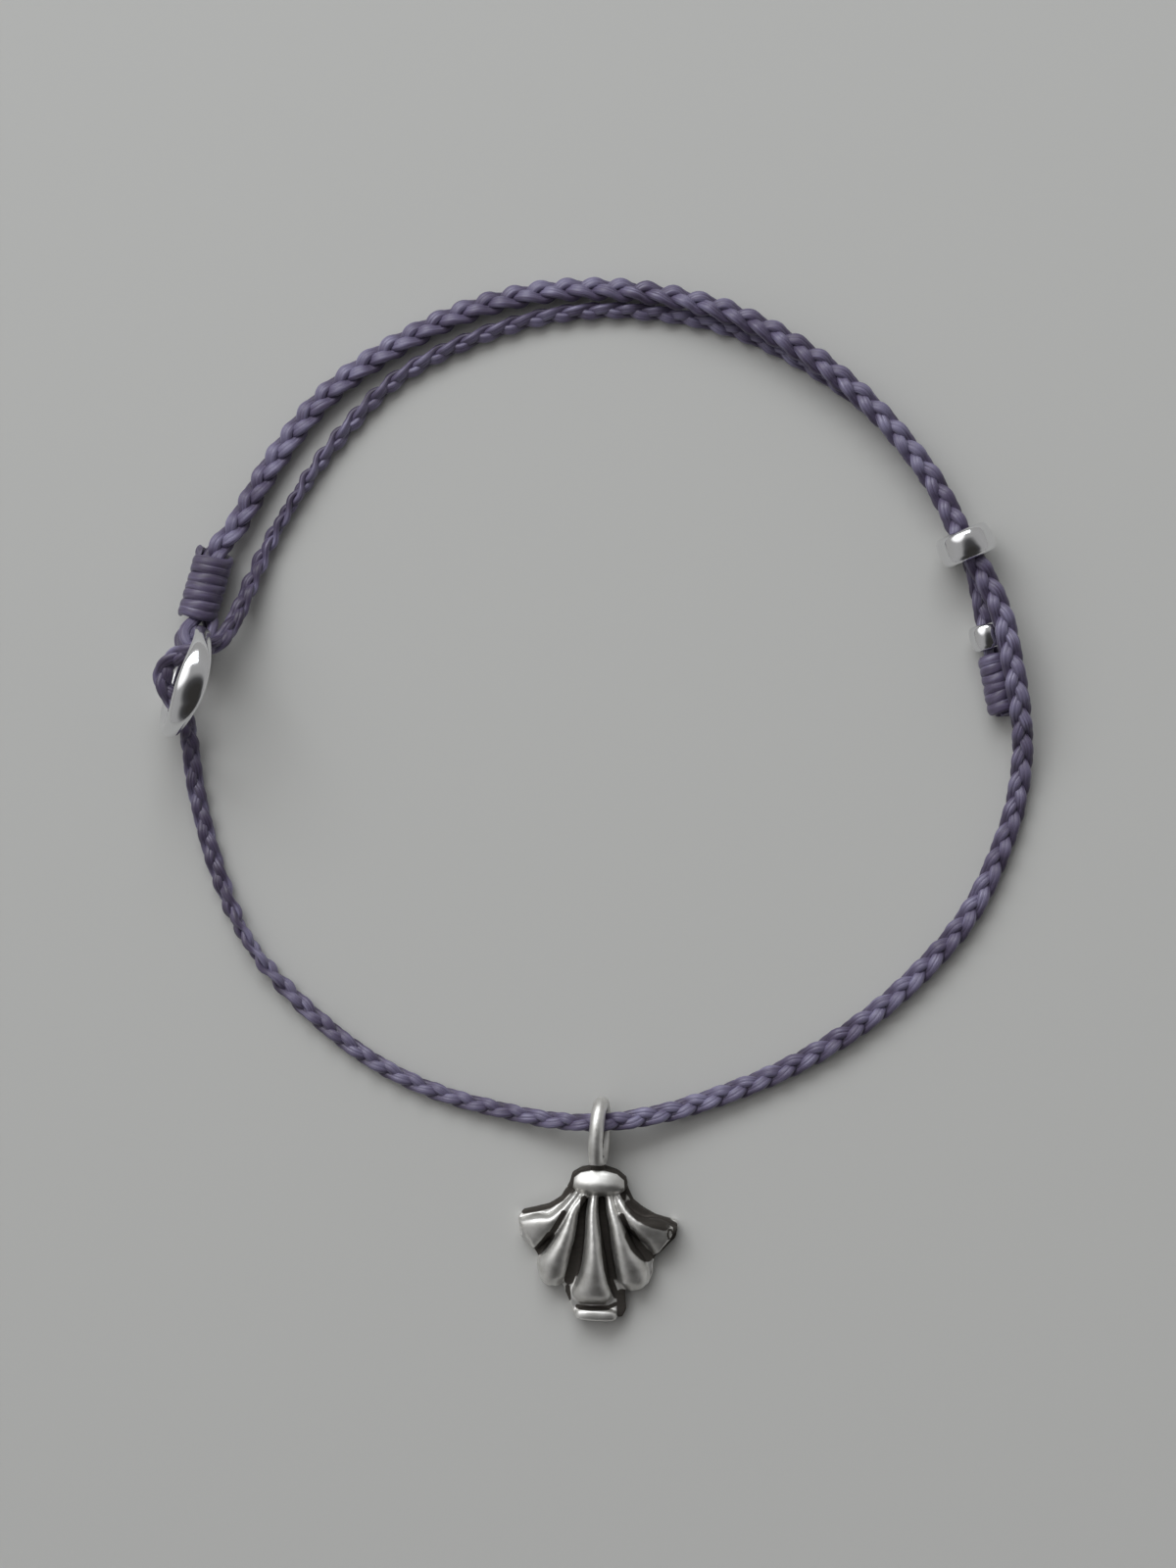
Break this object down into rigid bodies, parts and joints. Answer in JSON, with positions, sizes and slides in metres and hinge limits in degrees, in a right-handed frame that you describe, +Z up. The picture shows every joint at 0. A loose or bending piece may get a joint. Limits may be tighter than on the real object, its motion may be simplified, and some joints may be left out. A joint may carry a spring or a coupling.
{
  "type": "braided cord bracelet",
  "caption": "Adjustable plaited cord bracelet with a metal ring, a slide bead, a stopper bead, whipped ends and a fan shell charm, lying flat",
  "frame": {"origin": "middle of the bounding box at the surface the bracelet lies on", "axes": "+Z up from the surface, +Y from the charm towards the far side of the loop, +X to the right seen from above"},
  "size_m": [0.0614, 0.0733, 0.0079],
  "materials": {
    "cord": "waxed lavender cord with a soft sheen",
    "silver": "polished silver, darkened in the grooves"
  },
  "bodies": {
    "root": {"braid_strand_a": "cord", "braid_strand_b": "cord", "braid_strand_c": "cord", "ring": "silver", "ring_whipping": "cord", "slide_bead": "silver", "end_bead": "silver", "end_whipping": "cord", "charm": "silver"}
  },
  "joints": []
}
